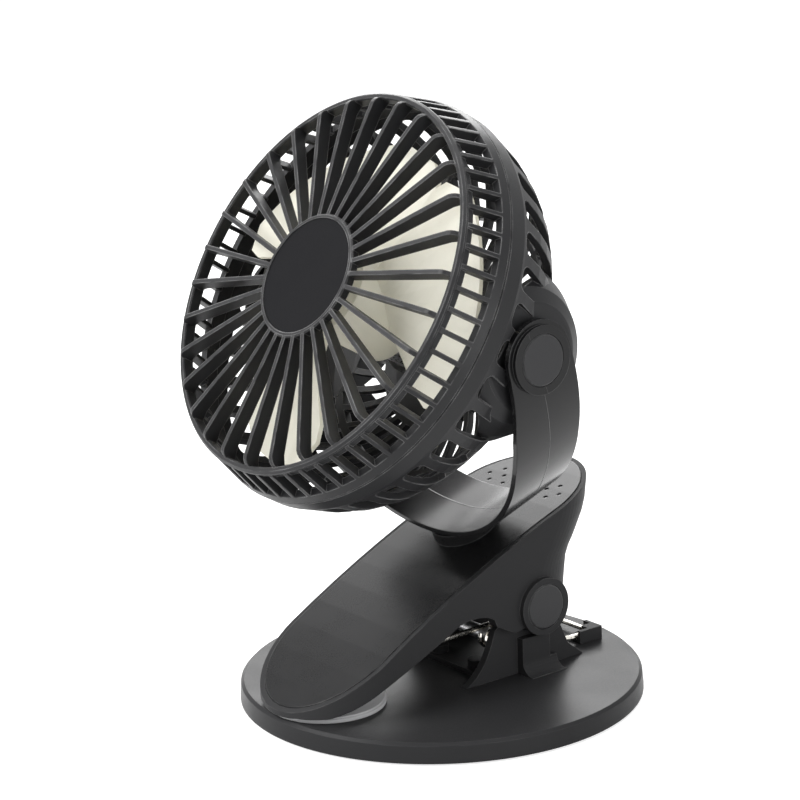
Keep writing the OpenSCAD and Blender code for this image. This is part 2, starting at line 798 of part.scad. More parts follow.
// Bow-shaped strap with ringed ends and the turning half of the turntable
module yoke() {
    color([0.14, 0.14, 0.15])
    difference() {
        union() {
            yoke_place() intersection() {
                rotate([90, 0, 0]) translate([0, 0, -20]) linear_extrude(45) difference() {
                    bow(yoke_out_r);
                    bow(yoke_in_r);
                }
                side_plate(-90, 90) strap_side();
            }
            yoke_place() both_sides() bar_x(yoke_out_r - eps, yoke_out_r + yoke_ring_t, yoke_ring_r);
            swivel_place() translate([0, 0, -turntable_h / 2 + gap])
                cylinder(r = turntable_r - 0.6, h = turntable_h / 2 - gap + yoke_t);
            swivel_place() translate([0, 0, -turntable_h / 2 - stem_len])
                cylinder(r = stem_r, h = stem_len + 1);
        }
        yoke_place() bar_x(-90, 90, pivot_r + run_fit);
        yoke_place() both_sides() {
            bar_x(yoke_out_r - screw_seat - 0.1, 90, screw_head_r + gap);
            bar_x(yoke_out_r + 0.2, 90, pivot_cap_r + 0.15);
        }
        swivel_place() translate([0, 0, -40]) cylinder(r = 1.5, h = 38);
    }
}

// Washer that keeps the stem in the face plate
module swivel_washer() {
    color([0.6, 0.6, 0.62])
    swivel_place() translate([0, 0, -turntable_h / 2 - stem_len - 1.02]) difference() {
        cylinder(r = stem_r + 3, h = 1);
        translate([0, 0, -1]) cylinder(r = 1.6, h = 3);
    }
}

// Screw in the end of the stem
module swivel_screw() {
    color([0.5, 0.5, 0.52])
    swivel_place() translate([0, 0, -turntable_h / 2 - stem_len - 1.04]) rotate([180, 0, 0])
        screw(3, 1.2, 1.45, 6);
}

pivot_r = 2.4;
screw_head_r = 4.4;
screw_seat = 0.8;

// Round caps over the pivot screws
module pivot_caps() {
    color([0.24, 0.24, 0.25])
    yoke_place() both_sides() {
        bar_x(yoke_out_r + 0.22, yoke_out_r + yoke_ring_t - 0.1, pivot_cap_r);
        bar_x(yoke_out_r + yoke_ring_t - 0.11, yoke_out_r + yoke_ring_t + 0.2, pivot_cap_r - 0.35);
    }
}

washer_r = 7.5;
// Friction washers between the yoke ends and the head
module friction_washers() {
    color([0.7, 0.7, 0.68])
    yoke_place() both_sides() difference() {
        bar_x(ear_x + 0.25, yoke_in_r - gap, washer_r);
        bar_x(ear_x - 1, 90, pivot_r + 0.2);
    }
}

// ---------- head ----------

// Coordinates of the head: origin on the tilt axis, Z forward along the shaft
module head_place() {
    translate([0, -pivot_y, pivot_z]) rotate([90 - head_aim, 0, 0]) children();
}

ring_front = joint_z + ring_z;
hub_front = joint_z + hub_z;
function side_r(z) = head_r - (z - joint_z) / ring_z * (head_r - ring_r);
flange_in = head_r - shell_wall - 1.2;
grille_turn = 10.4;

// One rib across the grille, drawn in radius and height
module front_rib() {
    end_r = ring_r - ring_wall + 0.7;
    bend = 3.4;
    top = hub_front - 1.5;
    rotate([90, 0, 0]) translate([0, 0, -rib_t / 2]) linear_extrude(rib_t) polygon(concat(
        [[hub_r - 1.4, hub_front - rib_d + 0.6], [hub_r - 1.4, hub_front - 0.25],
         [end_r - bend - 4, top]],
        [for (a = [80:-20:0])
            [end_r - bend + bend * cos(a), ring_front - 1.2 + (top - ring_front + 1) * sin(a)]],
        [[end_r, ring_front - ring_d + 0.3], [end_r - 5, top - rib_d]]
    ));
}

// One rib of the side, from the band to the ring
module side_rib() {
    z0 = joint_z + front_band - 0.4;
    rotate([90, 0, 0]) translate([0, 0, -rib_t / 2]) linear_extrude(rib_t) polygon([
        [side_r(z0), z0], [ring_r + 0.25, ring_front - 2.2], [ring_r - 0.6, ring_front - 1.3],
        [ring_r - ring_wall + 0.4, ring_front - 2.6], [ring_r - ring_wall + 0.2, ring_front - 5],
        [side_r(z0) - 3.4, z0]
    ]);
}

snaps = 6;
snap_w = 8;

// Front shell: band, side ribs, ring, ribs and hub plate in one moulding
module front_grille() {
    color([0.19, 0.19, 0.2])
    head_place() {
        difference() {
            rotate_extrude() polygon([
                [flange_in, joint_z - 2], [head_r - shell_wall - 0.12, joint_z - 2],
                [head_r - shell_wall - 0.12, joint_z], [head_r - 0.35, joint_z],
                [head_r, joint_z + 0.35], [side_r(joint_z + front_band), joint_z + front_band],
                [flange_in, joint_z + front_band]
            ]);
            for (i = [0:snaps - 1]) rotate(30 + i * 360 / snaps)
                translate([flange_in - 1, -snap_w / 2 - 1, joint_z - 3])
                    cube([3, 1, 3]);
        }
        rotate_extrude() polygon([
            [ring_r - ring_wall, ring_front - ring_d], [ring_r - 0.5, ring_front - ring_d],
            [ring_r - 0.5, ring_front - 2], [ring_r, ring_front - 1.6], [ring_r, ring_front - 0.9],
            [ring_r - 0.8, ring_front], [ring_r - ring_wall + 0.4, ring_front],
            [ring_r - ring_wall, ring_front - 0.5]
        ]);
        rotate_extrude() polygon([
            [0, hub_front - 3], [hub_r, hub_front - 3], [hub_r, hub_front - 0.5],
            [hub_r - 0.5, hub_front], [hub_r - hub_rim, hub_front],
            [hub_r - hub_rim, hub_front - 1.3], [0, hub_front - 1.3]
        ]);
        for (i = [0:front_ribs - 1]) rotate(grille_turn + i * 360 / front_ribs) front_rib();
        for (i = [0:side_ribs - 1])
            rotate(grille_turn + 180 / side_ribs + i * 360 / side_ribs) side_rib();
    }
}

// Bare disc let into the hub plate
module hub_disc() {
    color([0.2, 0.2, 0.21])
    head_place() translate([0, 0, hub_front - 1.28]) cylinder(r = hub_r - hub_rim - 0.12, h = 0.95);
}

bowl_start = joint_z - rear_band;
// Outside line of the rear shell behind the band: height along the shaft, radius
bowl_line = [[bowl_start, head_r - 0.3], [12, head_r - 1.2], [7, head_r - 2.4], [2, head_r - 4.3],
             [-3, head_r - 7.0], [-8, head_r - 10.8], [-13, head_r - 15.3], [-18, head_r - 20.4],
             [-21.6, head_r - 27], [-23.8, head_r - 36], [-back_z, back_disc_r]];
function bowl_normal(i) =
    let (d = bowl_line[min(i + 1, len(bowl_line) - 1)] - bowl_line[max(i - 1, 0)])
    [-d[1], d[0]] / norm(d);
// The same line moved inwards by a thickness
function bowl_inside(t) = [for (i = [0:len(bowl_line) - 1])
    i == 0 ? bowl_line[0] - [0, t] : i == len(bowl_line) - 1 ? bowl_line[i] + [t, 0]
        : bowl_line[i] + t * bowl_normal(i)];
function flip(line) = [for (i = [len(line) - 1:-1:0]) line[i]];
// Swaps height and radius, for drawing a revolved outline
function swap(line) = [for (p = line) [p[1], p[0]]];

slot_pitch = 360 / rear_slots;
side_slot_w = 8.2;
side_slot_z = -8.4;

// Rounded slanting slot through the side wall of the rear shell, drawn from outside
module side_slot() {
    r = 2.6;
    h = bowl_start - 0.2 - side_slot_z;
    translate([head_r - 16, 0, side_slot_z]) rotate([90, 0, 90]) linear_extrude(20) polygon(concat(
        [for (a = [0:30:90])
            [side_slot_w / 2 - r + r * cos(a) + rear_slant, h - r + r * sin(a)]],
        [for (a = [90:30:180])
            [-side_slot_w / 2 + r + r * cos(a) + rear_slant, h - r + r * sin(a)]],
        [[-side_slot_w / 2 + 1.2, r], [-side_slot_w / 2 + 2.2, 0], [side_slot_w / 2 - 2, 0],
         [side_slot_w / 2 - 0.6, r]]
    ));
}
rear_slant = 2.9;

// Curved slot through the back of the rear shell between two radii
module back_slot(r0, r1) {
    n = 5;
    turn = function (r) rear_swirl * (head_r - r) / head_r;
    half = function (r) (slot_pitch - rear_rib_t / r * 57.3) / 2;
    translate([0, 0, -back_z - 5]) linear_extrude(60) polygon(concat(
        [for (i = [0:n]) let (r = r0 + (r1 - r0) * i / n, a = turn(r) - half(r))
            r * [cos(a), sin(a)]],
        [for (i = [n:-1:0]) let (r = r0 + (r1 - r0) * i / n, a = turn(r) + half(r))
            r * [cos(a), sin(a)]]
    ));
}

shell_t = 2.6;
cup_t = 1.8;
cup_r = motor_r + 0.15;
cup_top = -back_z + 18;
ear_core_r = 6;

// Rear shell: band, swirling ribs, hoops, pivot pads, back disc and motor cup
module rear_housing() {
    color([0.18, 0.18, 0.19])
    head_place() difference() {
        union() {
            difference() {
                rotate_extrude() polygon(concat(
                    swap(bowl_line), [[0, -back_z], [0, -back_z + shell_t]],
                    swap(flip(bowl_inside(shell_t))),
                    [[head_r - shell_wall, joint_z - 0.05], [head_r - 0.35, joint_z - 0.05],
                     [head_r, joint_z - 0.4], [head_r, bowl_start + 1]]
                ));
                for (i = [0:rear_slots - 1]) rotate((i + 0.5) * slot_pitch) {
                    side_slot();
                    back_slot(47.5, 56.2);
                    back_slot(29, 45);
                }
            }
            translate([0, 0, -back_z]) cylinder(r = cup_r + cup_t, h = cup_top + back_z);
            both_sides() intersection() {
                pivot_pad();
                difference() {
                    translate([0, -40, -60]) cube([90, 80, 60 + bowl_start + 3]);
                    pad_cavity();
                }
            }
            both_sides() bar_x(ear_x - 11.1, ear_x - 1, ear_core_r);
        }
        translate([0, 0, -back_z + 2.2]) cylinder(r = cup_r, h = cup_top + back_z);
        translate([0, 0, -back_z - 1]) cylinder(r = 4.2, h = 5);
        for (s = [-1, 1]) translate([s * motor_screw_x, 0, -back_z - 1]) cylinder(r = 1.3, h = 5);
        both_sides() bar_x(ear_x - 10.1, 90, 1.9);
        both_sides() bar_x(yoke_in_r - 0.5, 90, yoke_end_r + 0.8);
        both_sides() bar_x(ear_x, 90, washer_r + 0.4);
        translate([0, 0, -back_z - 1]) cylinder(r = back_cap_r + 0.15, h = 1 + 0.9);
    }
}

// Rounded lobe around the tilt axis that carries the yoke end
module pivot_pad() {
    rotate([0, 90, 0]) rotate_extrude() polygon([
        [0, ear_x - 27.6], [32, ear_x - 27.6], [30.5, ear_x - 19.6], [26.8, ear_x - 10.6],
        [21.6, ear_x - 2.8], [17.4, ear_x - 0.2],
        [16.4, ear_x], [0, ear_x]
    ]);
}

// The space inside the rear shell where the lobes stand
module pad_cavity() {
    rotate_extrude() polygon(concat(
        [[0, -back_z + 1], [0, 60], [head_r - shell_wall - 0.1, 60]],
        swap(bowl_inside(shell_t + 0.2))
    ));
}

back_cap_r = 19;
// Round cap over the motor screws
module back_cap() {
    color([0.2, 0.2, 0.21])
    head_place() {
        translate([0, 0, -back_z - 0.6]) cylinder(r = back_cap_r, h = 1.48);
        translate([0, 0, -back_z - 1.0]) cylinder(r = back_cap_r - 0.5, h = 0.41);
    }
}

// Shoulder screws from the yoke ends into the head
module pivot_screws() {
    color([0.55, 0.55, 0.57])
    head_place() both_sides() {
        bar_x(ear_x - 9.6, ear_x, 1.88);
        bar_x(ear_x + 0.02, yoke_out_r - screw_seat, pivot_r);
        bar_x(yoke_out_r - screw_seat, yoke_out_r + 0.1, screw_head_r);
    }
}

motor_back = -back_z + 2.25;
motor_front = motor_back + motor_l;
motor_screw_x = 8;

// Steel can of the motor
module motor_can() {
    color([0.62, 0.62, 0.64])
    head_place() difference() {
        union() {
            translate([0, 0, motor_back + 2]) cylinder(r = motor_r, h = motor_l - 2);
            translate([0, 0, motor_front - 0.1]) cylinder(r = 3.4, h = 1.6);
        }
        translate([0, 0, motor_back + 1]) cylinder(r = motor_r - 1, h = motor_l - 2);
        translate([0, 0, motor_front - 3]) cylinder(r = 2.6, h = 6);
    }
}

// Plastic end cap at the back of the motor
module motor_end_cap() {
    color([0.75, 0.75, 0.72])
    head_place() difference() {
        union() {
            translate([0, 0, motor_back]) cylinder(r = motor_r, h = 1.98);
            translate([0, 0, motor_back + 1.9]) cylinder(r = motor_r - 1.05, h = 1.6);
            translate([0, 0, motor_back - 1.3]) cylinder(r = 3.8, h = 1.8);
        }
        translate([0, 0, motor_back - 0.5]) cylinder(r = 2.6, h = 10);
        for (s = [-1, 1]) translate([s * motor_screw_x, 0, motor_back - 1])
            cylinder(r = 1.0, h = 3.4);
    }
}

// Bronze bushings that carry the shaft
module motor_bushings() {
    color([0.7, 0.5, 0.3])
    head_place() for (z = [motor_back - 0.48, motor_front - 1.5]) translate([0, 0, z]) difference() {
        cylinder(r = 2.58, h = 2.8);
        translate([0, 0, -1]) cylinder(r = shaft_r + run_fit / 2, h = 6);
    }
}

// Two screws through the back disc into the motor
module motor_screws() {
    color([0.5, 0.5, 0.52])
    head_place() for (s = [-1, 1]) translate([s * motor_screw_x, 0, -back_z + 0.88])
        mirror([0, 0, 1]) translate([0, 0, -0.05]) screw(0.0 + 1.25, 0.05, 0.98, 3.6);
}

fan_hub_z0 = motor_front + 2.2;
fan_hub_z1 = blade_z + blade_rise / 2 + 2;

// Shaft from the back bushing to the impeller
module motor_shaft() {
    color([0.7, 0.7, 0.72])
    head_place() translate([0, 0, motor_back - 0.4]) cylinder(r = shaft_r, h = fan_hub_z1 - 2 - motor_back);
}

// Laminated rotor on the shaft
module motor_rotor() {
    color([0.6, 0.35, 0.2])
    head_place() translate([0, 0, motor_back + 4.6]) difference() {
        cylinder(r = motor_r - 1.8, h = motor_l - 9);
        translate([0, 0, -1]) cylinder(r = shaft_r, h = 60);
        for (a = [0:120:240]) rotate(a) translate([5.4, -1.2, -1]) cube([20, 2.4, 60]);
    }
}

// Height of the middle of a blade at angle a from its middle line and radius r
function blade_height(a, r) =
    blade_z + blade_rise * a / blade_arc + 1.6 * cos(a * 180 / blade_arc) - 1.4 * (r / blade_r);
// How far a blade reaches to either side at radius r, as a share of its arc
function blade_reach(r) =
    let (t = (r - fan_hub_r) / (blade_r - fan_hub_r))
    0.36 + 0.14 * sin(min(t * 1.25, 1) * 90) - 0.16 * pow(max(t - 0.72, 0) / 0.28, 2.4);

// One broad curved blade
module blade() {
    nr = 8;
    na = 12;
    lead = 8;
    place = function (i, j, side)
        let (r = fan_hub_r - 1 + (blade_r - fan_hub_r + 1) * i / nr,
             a = blade_arc * blade_reach(r) * (2 * j / na - 1) + lead * pow(i / nr, 2) - lead / 2)
        [r * cos(a), r * sin(a), blade_height(a, r) + side * blade_t / 2];
    row = na + 1;
    count = (nr + 1) * row;
    points = [for (side = [1, -1], i = [0:nr], j = [0:na]) place(i, j, side)];
    top = [for (i = [0:nr - 1], j = [0:na - 1])
        [i * row + j, i * row + j + 1, (i + 1) * row + j + 1, (i + 1) * row + j]];
    bottom = [for (f = top) [for (k = [3:-1:0]) f[k] + count]];
    edge = concat(
        [for (j = [0:na - 1]) [j + 1, j, j + count, j + 1 + count]],
        [for (j = [0:na - 1]) let (o = nr * row)
            [o + j, o + j + 1, o + j + 1 + count, o + j + count]],
        [for (i = [0:nr - 1]) [i * row, (i + 1) * row, (i + 1) * row + count, i * row + count]],
        [for (i = [0:nr - 1]) let (o = na)
            [(i + 1) * row + o, i * row + o, i * row + o + count, (i + 1) * row + o + count]]
    );
    polyhedron(points, concat(top, bottom, edge), convexity = 4);
}

// Impeller: cup-shaped hub with three blades
module impeller() {
    color([0.9, 0.88, 0.8])
    head_place() rotate(blade_turn) difference() {
        union() {
            for (i = [0:blades - 1]) rotate(i * 360 / blades) blade();
            translate([0, 0, fan_hub_z0]) cylinder(r = fan_hub_r, h = fan_hub_z1 - fan_hub_z0);
        }
        translate([0, 0, fan_hub_z0 - 1]) cylinder(r = fan_hub_r - 1.6, h = 8);
        translate([0, 0, fan_hub_z0 - 1]) cylinder(r = shaft_r, h = fan_hub_z1 - fan_hub_z0 - 1);
    }
}

base_disc();
base_plate();
ballast_plate();
rubber_feet();
base_screws();
hinge_bracket();
bracket_screws();
spring_catches();
spring_rod();
torsion_spring();
spring_arms();
hinge_pin();
base_pad();
clamp_body();
face_plate();
face_screws();
jaw_pad();
hinge_caps();
battery();
control_board();
power_button();
usb_socket();
indicator_lamps();
yoke();
swivel_washer();
swivel_screw();
pivot_caps();
friction_washers();
rear_housing();
front_grille();
hub_disc();
back_cap();
pivot_screws();
motor_can();
motor_end_cap();
motor_bushings();
motor_screws();
impeller();
motor_shaft();
motor_rotor();
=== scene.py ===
import math
import bpy
from mathutils import Matrix, Vector

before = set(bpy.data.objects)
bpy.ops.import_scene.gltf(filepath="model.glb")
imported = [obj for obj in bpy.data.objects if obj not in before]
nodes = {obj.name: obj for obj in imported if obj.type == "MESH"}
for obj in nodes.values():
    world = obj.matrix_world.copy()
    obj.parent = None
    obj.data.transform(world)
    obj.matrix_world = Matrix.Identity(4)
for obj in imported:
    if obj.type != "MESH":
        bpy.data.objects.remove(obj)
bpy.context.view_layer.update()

# ---- Base disc and its underside -----------------------------------------
# A round injection-moulded disc, dark satin plastic with a fine spark-eroded
# texture and a bevelled rim, closed underneath by a plate over a steel weight.


def group(name, inputs, outputs, build):
    """A node group with named inputs and outputs; build wires it up."""
    tree = bpy.data.node_groups.new(name, "ShaderNodeTree")
    for label, kind, value in inputs:
        made = tree.interface.new_socket(label, in_out="INPUT", socket_type=kind)
        if value is not None:
            made.default_value = value
    for label, kind in outputs:
        tree.interface.new_socket(label, in_out="OUTPUT", socket_type=kind)
    given = tree.nodes.new("NodeGroupInput").outputs
    result = tree.nodes.new("NodeGroupOutput").inputs
    build(tree, given, result)
    return tree


def node(tree, kind, settings=(), **wires):
    """A node with its settings made, and sockets joined or set by name."""
    made = tree.nodes.new(kind)
    for key, value in dict(settings).items():
        setattr(made, key, value)
    for key, value in wires.items():
        label = key.replace("_", " ")
        socket = next((s for s in made.inputs if s.name == label and s.enabled), None)
        socket = socket or made.inputs[int(key[1:])]
        if isinstance(value, bpy.types.NodeSocket):
            tree.links.new(value, socket)
        else:
            socket.default_value = value
    return made


def build_texture(tree, given, result):
    """Fine grain for the relief, and broad clouds that vary the sheen."""
    cloud_scale = 38.0
    cloud_low, cloud_high = 0.3, 0.7
    grain_low, grain_high = 0.35, 0.65
    speckle = 0.03
    place = node(tree, "ShaderNodeTexCoord").outputs["Object"]
    fine = node(tree, "ShaderNodeTexNoise", Vector=place, Scale=given["Grain Size"], Detail=3.0)
    broad = node(tree, "ShaderNodeTexNoise", Vector=place, Scale=cloud_scale, Detail=4.0,
                 Roughness=0.6)
    rough = node(tree, "ShaderNodeMapRange", Value=broad.outputs[0], From_Min=cloud_low,
                 From_Max=cloud_high, To_Min=given["Rough Low"], To_Max=given["Rough High"])
    dots = node(tree, "ShaderNodeMapRange", Value=fine.outputs[0], From_Min=grain_low,
                From_Max=grain_high, To_Min=-speckle, To_Max=speckle)
    total = node(tree, "ShaderNodeMath", {"operation": "ADD"}, i0=rough.outputs[0],
                 i1=dots.outputs[0])
    tree.links.new(total.outputs[0], result["Roughness"])
    tree.links.new(fine.outputs[0], result["Height"])
    tree.links.new(broad.outputs[0], result["Cloud"])


moulded = group(
    "moulded_texture",
    [("Grain Size", "NodeSocketFloat", 1800.0), ("Rough Low", "NodeSocketFloat", 0.35),
     ("Rough High", "NodeSocketFloat", 0.45)],
    [("Roughness", "NodeSocketFloat"), ("Height", "NodeSocketFloat"),
     ("Cloud", "NodeSocketFloat")],
    build_texture)


def build_wear_and_highlight(tree, given, result):
    """Softened edges, and a patchy edge mask: partly hand polish, partly a painted highlight."""
    edge_starts = 0.995
    edge_full = 0.9
    patch_scale = 160.0
    patch_low, patch_high = 0.35, 0.7
    place = node(tree, "ShaderNodeTexCoord").outputs["Object"]
    round_normal = node(tree, "ShaderNodeBevel", {"samples": 6}, Radius=given["Radius"])
    flat = node(tree, "ShaderNodeNewGeometry").outputs["Normal"]
    same = node(tree, "ShaderNodeVectorMath", {"operation": "DOT_PRODUCT"},
                i0=round_normal.outputs[0], i1=flat)
    edge = node(tree, "ShaderNodeMapRange", Value=same.outputs["Value"], From_Min=edge_starts,
                From_Max=edge_full, To_Min=0.0, To_Max=1.0)
    patchy = node(tree, "ShaderNodeTexNoise", Vector=place, Scale=patch_scale, Detail=5.0)
    gate = node(tree, "ShaderNodeMapRange", Value=patchy.outputs[0], From_Min=patch_low,
                From_Max=patch_high)
    mask = node(tree, "ShaderNodeMath", {"operation": "MULTIPLY"}, i0=edge.outputs[0],
                i1=gate.outputs[0])
    tree.links.new(mask.outputs[0], result["Mask"])
    tree.links.new(round_normal.outputs[0], result["Normal"])


wear_and_highlight = group("edge_wear_and_highlight", [("Radius", "NodeSocketFloat", 0.0004)],
             [("Mask", "NodeSocketFloat"), ("Normal", "NodeSocketVector")], build_wear_and_highlight)


relief_depth = 0.0001


def plastic(name, colour, rough, worn_and_highlight, grain=1800.0, bump=0.06, radius=0.0004, specular=0.5):
    """Moulded plastic: grain, cloudy sheen, softened edges with polish and a painted highlight.
    """
    darker = [0.86 * part for part in colour]
    lighter = [1.12 * part for part in colour]
    made = bpy.data.materials.new(name)
    made.use_nodes = True
    tree = made.node_tree
    shader = tree.nodes["Principled BSDF"]
    texture = node(tree, "ShaderNodeGroup", {"node_tree": moulded}, Grain_Size=grain,
                   Rough_Low=rough[0], Rough_High=rough[1])
    edges = node(tree, "ShaderNodeGroup", {"node_tree": wear_and_highlight}, Radius=radius)
    tint = node(tree, "ShaderNodeMix", {"data_type": "RGBA"}, Factor=texture.outputs["Cloud"],
                i6=(*darker, 1), i7=(*lighter, 1))
    # Edges take the lighter edge colour: partly wear, partly a painted highlight.
    paint = node(tree, "ShaderNodeMix", {"data_type": "RGBA"}, Factor=edges.outputs["Mask"],
                 i6=tint.outputs[2], i7=(*worn_and_highlight, 1))
    relief = node(tree, "ShaderNodeBump", Strength=bump, Distance=relief_depth,
                  Height=texture.outputs["Height"], Normal=edges.outputs["Normal"])
    tree.links.new(paint.outputs[2], shader.inputs["Base Color"])
    tree.links.new(texture.outputs["Roughness"], shader.inputs["Roughness"])
    tree.links.new(relief.outputs[0], shader.inputs["Normal"])
    shader.inputs["Specular IOR Level"].default_value = specular
    return made


def dress(name, material):
    """Gives a solid its material."""
    piece = nodes[name]
    for holder in piece.material_slots:
        holder.material = material
    if not piece.material_slots:
        piece.data.materials.append(material)


def metal(name, colour, rough, scratch=900.0, stretch=(1, 1, 1)):
    """Plated or turned metal with drawn scratches."""
    smooth, coarse = 0.75 * rough, 1.35 * rough
    shade = [0.88 * part for part in colour]
    scratch_low, scratch_high = 0.3, 0.7
    made = bpy.data.materials.new(name)
    made.use_nodes = True
    tree = made.node_tree
    shader = tree.nodes["Principled BSDF"]
    place = node(tree, "ShaderNodeTexCoord").outputs["Object"]
    turned = node(tree, "ShaderNodeMapping", Vector=place, Scale=stretch)
    lines = node(tree, "ShaderNodeTexNoise", Vector=turned.outputs[0], Scale=scratch, Detail=5.0)
    sheen = node(tree, "ShaderNodeMapRange", Value=lines.outputs[0], From_Min=scratch_low,
                 From_Max=scratch_high, To_Min=smooth, To_Max=coarse)
    tint = node(tree, "ShaderNodeMix", {"data_type": "RGBA"}, Factor=lines.outputs[0],
                i6=(*shade, 1), i7=(*colour, 1))
    relief = node(tree, "ShaderNodeBump", Strength=0.08, Distance=relief_depth,
                  Height=lines.outputs[0])
    tree.links.new(tint.outputs[2], shader.inputs["Base Color"])
    tree.links.new(sheen.outputs[0], shader.inputs["Roughness"])
    tree.links.new(relief.outputs[0], shader.inputs["Normal"])
    shader.inputs["Metallic"].default_value = 1.0
    return made


base_skin = plastic("base_satin", (0.023, 0.023, 0.024), (0.3, 0.4), (0.06, 0.06, 0.06),
                    bump=0.03, specular=0.07)
dress("base_disc", base_skin)
dress("base_plate", plastic("base_underside", (0.03, 0.03, 0.03), (0.5, 0.62),
                            (0.1, 0.1, 0.1), bump=0.12))
zinc = metal("zinc_plate", (0.6, 0.6, 0.61), 0.32)
for name in ("ballast_plate", "base_screws", "bracket_screws"):
    dress(name, zinc)
dress("rubber_feet", plastic("foot_rubber", (0.012, 0.012, 0.012), (0.7, 0.85),
                             (0.03, 0.03, 0.03), grain=700.0, bump=0.25))

# ---- Silicone pad on the base --------------------------------------------
# A soft light-grey disc glued to the base under the tip of the clamp; it
# stops the two jaws from marking what they hold.
dress("base_pad", plastic("silicone", (0.48, 0.48, 0.49), (0.5, 0.62), (0.54, 0.54, 0.54),
                          grain=500.0, bump=0.1, radius=0.0006, specular=0.25))

# ---- Hinge bracket and spring catches -------------------------------------
# Two cheeks on a web, moulded in the dark body plastic and screwed to the
# base from below; two small catches behind hold the loop of the spring.
body_skin = plastic("body_matt", (0.028, 0.028, 0.029), (0.42, 0.55), (0.1, 0.1, 0.1),
                    bump=0.07, specular=0.05)
dress("hinge_bracket", body_skin)
dress("spring_catches", body_skin)

# ---- Spring, rod and hinge pin --------------------------------------------
# Drawn spring wire, nickel plated; the coils sit on a steel rod between the
# cheeks and the hinge turns on a separate pin.
wire_metal = metal("nickel_wire", (0.92, 0.89, 0.82), 0.22, scratch=1500.0, stretch=(0.3, 1, 1))
for name in ("torsion_spring", "spring_arms"):
    dress(name, wire_metal)
for name in ("spring_rod", "hinge_pin"):
    dress(name, zinc)

# ---- Clamp body ------------------------------------------------------------
# One hollow moulding in matt black with bosses for the hinge; thin flat caps
# cover the pin, and a rubber pad sits in the underside of the tip.
dress("clamp_body", body_skin)
cap_skin = plastic("cap_matt", (0.022, 0.022, 0.0235), (0.4, 0.52), (0.09, 0.09, 0.09),
                   bump=0.05, specular=0.25)
dress("hinge_caps", cap_skin)
dress("jaw_pad", plastic("jaw_rubber", (0.014, 0.014, 0.014), (0.65, 0.8),
                         (0.04, 0.04, 0.04), grain=800.0, bump=0.2))

# ---- Glossy face of the clamp ----------------------------------------------
# A polished black plate let into the top of the clamp body, with faint
# handling marks; it carries the fixed half of the turntable.
face_skin = plastic("polished_face", (0.01, 0.01, 0.0105), (0.26, 0.34), (0.08, 0.08, 0.08),
                    grain=5000.0, bump=0.002, radius=0.0005, specular=0.15)
dress("face_plate", face_skin)
dress("face_screws", zinc)

# ---- Parts inside the clamp -------------------------------------------------
# Pouch battery, control board with its switch, button, charging socket and
# smoked light pipes.
dress("battery", plastic("pouch", (0.42, 0.44, 0.48), (0.3, 0.4), (0.6, 0.6, 0.6), grain=400.0))
dress("control_board", plastic("solder_mask", (0.02, 0.12, 0.05), (0.25, 0.4), (0.1, 0.3, 0.1)))
dress("power_button", cap_skin)
dress("usb_socket", zinc)
dress("indicator_lamps", plastic("smoked_pipe", (0.008, 0.008, 0.01), (0.12, 0.2),
                                 (0.05, 0.05, 0.05), bump=0.0))

# ---- Yoke --------------------------------------------------------------------
# A bow-shaped strap in the same polished black as the clamp face, ringed at
# both ends, with a fine parting line down the outside; flat caps close the
# rings over the pivot screws.
strap_skin = plastic("polished_strap", (0.007, 0.007, 0.0075), (0.17, 0.25), (0.05, 0.05, 0.05),
                     grain=5000.0, bump=0.002, radius=0.0004, specular=0.22)
tree = strap_skin.node_tree
relief = next(made for made in tree.nodes if made.bl_idname == "ShaderNodeBump")
pivot = Vector((0, -0.0123, 0.130))
lean = math.radians(20.5)
across = Vector((0, math.cos(lean), math.sin(lean)))
line_offset = -0.0022
line_half_width = 0.00022
line_height = 0.0002
place = node(tree, "ShaderNodeTexCoord").outputs["Object"]
side = node(tree, "ShaderNodeVectorMath", {"operation": "DOT_PRODUCT"}, i0=place, i1=across)
off = node(tree, "ShaderNodeMath", {"operation": "SUBTRACT"}, i0=side.outputs["Value"],
           i1=pivot.dot(across) + line_offset)
away = node(tree, "ShaderNodeMath", {"operation": "ABSOLUTE"}, i0=off.outputs[0])
seam = node(tree, "ShaderNodeMapRange", Value=away.outputs[0], From_Min=0.0,
            From_Max=line_half_width, To_Min=1.0, To_Max=0.0)
raised = node(tree, "ShaderNodeBump", Strength=0.5, Distance=line_height,
              Height=seam.outputs[0], Normal=relief.outputs[0])
tree.links.new(raised.outputs[0], tree.nodes["Principled BSDF"].inputs["Normal"])
dress("yoke", strap_skin)
dress("pivot_caps", cap_skin)
nylon = plastic("nylon", (0.6, 0.6, 0.56), (0.4, 0.5), (0.7, 0.7, 0.66))
dress("friction_washers", nylon)
for name in ("pivot_screws", "swivel_screw", "swivel_washer"):
    dress(name, zinc)

# ---- Head shells ---------------------------------------------------------------
# Two mouldings in matt grey-black with a fine texture that snap together at
# the band; the grille ribs catch the light on their front edges, with a painted
# highlight in the light edge colour as well.
shell_skin = plastic("shell_matt", (0.018, 0.018, 0.019), (0.34, 0.46), (0.22, 0.22, 0.22),
                     bump=0.06, radius=0.0006, specular=0.18)
for name in ("front_grille", "rear_housing", "back_cap"):
    dress(name, shell_skin)
dress("hub_disc", plastic("hub_matt", (0.008, 0.008, 0.009), (0.6, 0.72), (0.04, 0.04, 0.04),
                          bump=0.1, radius=0.0002, specular=0.05))

# ---- Motor ----------------------------------------------------------------------
# A small brushed motor in a plated can behind the hub.
dress("motor_can", metal("can_steel", (0.62, 0.62, 0.64), 0.3, stretch=(1, 1, 0.1)))
dress("motor_end_cap", nylon)
dress("motor_bushings", metal("bronze", (0.6, 0.42, 0.22), 0.4))
dress("motor_screws", zinc)
dress("motor_shaft", metal("shaft_steel", (0.7, 0.7, 0.72), 0.18))
dress("motor_rotor", metal("copper", (0.6, 0.3, 0.16), 0.35))

